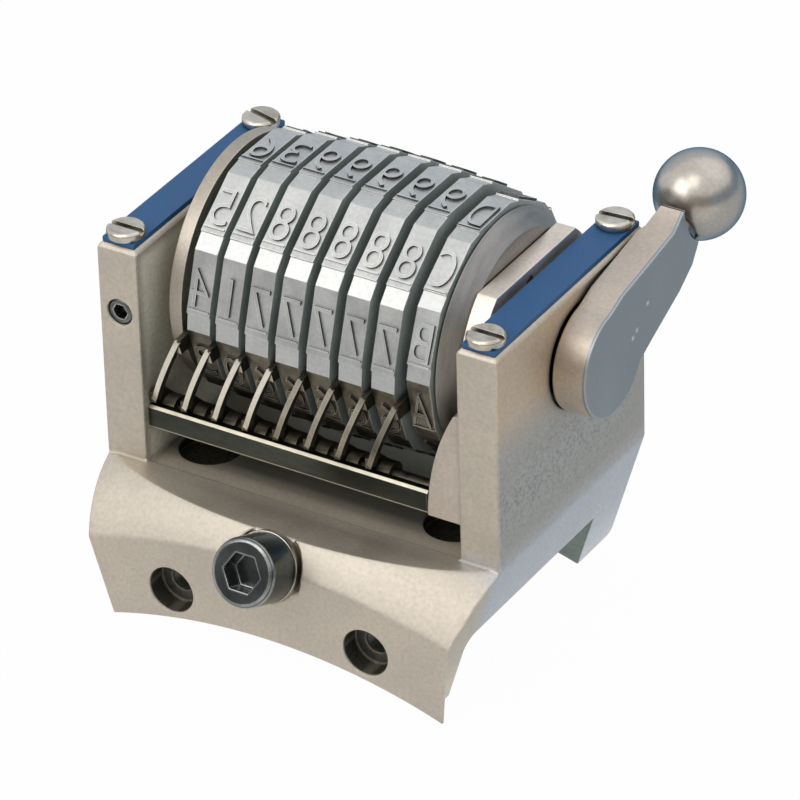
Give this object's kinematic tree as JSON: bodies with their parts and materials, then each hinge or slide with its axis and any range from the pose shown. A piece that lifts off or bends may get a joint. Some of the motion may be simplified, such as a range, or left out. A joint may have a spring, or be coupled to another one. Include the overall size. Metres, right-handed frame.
{
  "type": "rotary press numbering machine",
  "caption": "Saddle-mounted numbering box for a rotary press, with a row of type wheels, a comb of retaining pawls and a ball-ended lever that swings the drive pawls.",
  "frame": {"origin": "front face of the saddle's front flange, midway between the two fixing holes", "axes": "+X along the wheel shaft toward the lever, +Y along the press cylinder's axis from the flange to the rear foot, +Z away from the press cylinder"},
  "size_m": [0.0733, 0.0739, 0.0637],
  "materials": {
    "cast_frame": "satin nickel plate over a fine casting, warm tone",
    "lever_nickel": "satin nickel plate over a forging",
    "blue_strip": "smooth satin blue enamel",
    "screw_nickel": "bright nickel, turned",
    "black_oxide": "black oxide with worn bright rims",
    "ground_steel": "ground and oiled",
    "type_wheel": "milled steel with raised characters",
    "oiled_steel": "dark oiled steel with bright edges",
    "dark_drum": "turned dark steel",
    "pawl_steel": "spring steel, bright ground edges",
    "polished_ball": "polished nickel"
  },
  "bodies": {
    "root_frame": {"frame_body": "cast_frame", "left_cover_strip": "blue_strip", "right_cover_strip": "blue_strip", "left_strip_screws": "screw_nickel", "right_strip_screws": "screw_nickel", "shaft_lock_screw": "black_oxide", "clamp_screw": "black_oxide", "clamp_washer": "black_oxide", "wheel_shaft": "ground_steel", "left_collar": "cast_frame", "right_cheek": "cast_frame", "swing_stop_pin": "ground_steel", "comb_bar": "oiled_steel", "comb_end_block": "cast_frame", "pawl_rod": "ground_steel", "lever_return_spring": "ground_steel"},
    "lever": {"lever_arm": "lever_nickel", "ball_knob": "polished_ball", "lever_sleeve": "ground_steel", "swing_drum": "dark_drum", "swing_arm_left": "dark_drum", "carrier_rod": "ground_steel"},
    "drive_pawls": {"drive_pawls": "pawl_steel"},
    "number_wheel_1_body": {"number_wheel_1": "type_wheel"},
    "number_wheel_2_body": {"number_wheel_2": "type_wheel"},
    "number_wheel_3_body": {"number_wheel_3": "type_wheel"},
    "number_wheel_4_body": {"number_wheel_4": "type_wheel"},
    "number_wheel_5_body": {"number_wheel_5": "type_wheel"},
    "number_wheel_6_body": {"number_wheel_6": "type_wheel"},
    "number_wheel_7_body": {"number_wheel_7": "type_wheel"},
    "letter_wheel_body": {"letter_wheel": "type_wheel"},
    "retaining_pawl_1_body": {"retaining_pawl_1": "pawl_steel"},
    "retaining_pawl_2_body": {"retaining_pawl_2": "pawl_steel"},
    "retaining_pawl_3_body": {"retaining_pawl_3": "pawl_steel"},
    "retaining_pawl_4_body": {"retaining_pawl_4": "pawl_steel"},
    "retaining_pawl_5_body": {"retaining_pawl_5": "pawl_steel"},
    "retaining_pawl_6_body": {"retaining_pawl_6": "pawl_steel"},
    "retaining_pawl_7_body": {"retaining_pawl_7": "pawl_steel"},
    "retaining_pawl_8_body": {"retaining_pawl_8": "pawl_steel"}
  },
  "joints": [
    {"name": "lever_swing", "type": "hinge", "parent": "root_frame", "child": "lever", "pos_m": [0, 0.0314, 0.0362], "axis": [1, 0, 0], "range_deg": [-36, 0], "stiffness_Nm_per_rad": 0.02, "springref_deg": 34.38},
    {"name": "drive_pawls_lift", "type": "hinge", "parent": "lever", "child": "drive_pawls", "pos_m": [0, 0.05311, 0.0283], "axis": [1, 0, 0], "range_deg": [-8, 0], "stiffness_Nm_per_rad": 0.002, "springref_deg": 34.38},
    {"name": "number_wheel_1_turn", "type": "hinge", "parent": "root_frame", "child": "number_wheel_1_body", "pos_m": [0, 0.0314, 0.0362], "axis": [1, 0, 0], "continuous": true},
    {"name": "number_wheel_2_turn", "type": "hinge", "parent": "root_frame", "child": "number_wheel_2_body", "pos_m": [0, 0.0314, 0.0362], "axis": [1, 0, 0], "continuous": true},
    {"name": "number_wheel_3_turn", "type": "hinge", "parent": "root_frame", "child": "number_wheel_3_body", "pos_m": [0, 0.0314, 0.0362], "axis": [1, 0, 0], "continuous": true},
    {"name": "number_wheel_4_turn", "type": "hinge", "parent": "root_frame", "child": "number_wheel_4_body", "pos_m": [0, 0.0314, 0.0362], "axis": [1, 0, 0], "continuous": true},
    {"name": "number_wheel_5_turn", "type": "hinge", "parent": "root_frame", "child": "number_wheel_5_body", "pos_m": [0, 0.0314, 0.0362], "axis": [1, 0, 0], "continuous": true},
    {"name": "number_wheel_6_turn", "type": "hinge", "parent": "root_frame", "child": "number_wheel_6_body", "pos_m": [0, 0.0314, 0.0362], "axis": [1, 0, 0], "continuous": true},
    {"name": "number_wheel_7_turn", "type": "hinge", "parent": "root_frame", "child": "number_wheel_7_body", "pos_m": [0, 0.0314, 0.0362], "axis": [1, 0, 0], "continuous": true},
    {"name": "letter_wheel_turn", "type": "hinge", "parent": "root_frame", "child": "letter_wheel_body", "pos_m": [0, 0.0314, 0.0362], "axis": [1, 0, 0], "continuous": true},
    {"name": "retaining_pawl_1_lift", "type": "hinge", "parent": "root_frame", "child": "retaining_pawl_1_body", "pos_m": [0, 0.0145, 0.0196], "axis": [1, 0, 0], "range_deg": [0, 5], "stiffness_Nm_per_rad": 0.001, "springref_deg": -34.38},
    {"name": "retaining_pawl_2_lift", "type": "hinge", "parent": "root_frame", "child": "retaining_pawl_2_body", "pos_m": [0, 0.0145, 0.0196], "axis": [1, 0, 0], "range_deg": [0, 5], "stiffness_Nm_per_rad": 0.001, "springref_deg": -34.38},
    {"name": "retaining_pawl_3_lift", "type": "hinge", "parent": "root_frame", "child": "retaining_pawl_3_body", "pos_m": [0, 0.0145, 0.0196], "axis": [1, 0, 0], "range_deg": [0, 5], "stiffness_Nm_per_rad": 0.001, "springref_deg": -34.38},
    {"name": "retaining_pawl_4_lift", "type": "hinge", "parent": "root_frame", "child": "retaining_pawl_4_body", "pos_m": [0, 0.0145, 0.0196], "axis": [1, 0, 0], "range_deg": [0, 5], "stiffness_Nm_per_rad": 0.001, "springref_deg": -34.38},
    {"name": "retaining_pawl_5_lift", "type": "hinge", "parent": "root_frame", "child": "retaining_pawl_5_body", "pos_m": [0, 0.0145, 0.0196], "axis": [1, 0, 0], "range_deg": [0, 5], "stiffness_Nm_per_rad": 0.001, "springref_deg": -34.38},
    {"name": "retaining_pawl_6_lift", "type": "hinge", "parent": "root_frame", "child": "retaining_pawl_6_body", "pos_m": [0, 0.0145, 0.0196], "axis": [1, 0, 0], "range_deg": [0, 5], "stiffness_Nm_per_rad": 0.001, "springref_deg": -34.38},
    {"name": "retaining_pawl_7_lift", "type": "hinge", "parent": "root_frame", "child": "retaining_pawl_7_body", "pos_m": [0, 0.0145, 0.0196], "axis": [1, 0, 0], "range_deg": [0, 5], "stiffness_Nm_per_rad": 0.001, "springref_deg": -34.38},
    {"name": "retaining_pawl_8_lift", "type": "hinge", "parent": "root_frame", "child": "retaining_pawl_8_body", "pos_m": [0, 0.0145, 0.0196], "axis": [1, 0, 0], "range_deg": [0, 5], "stiffness_Nm_per_rad": 0.001, "springref_deg": -34.38}
  ]
}
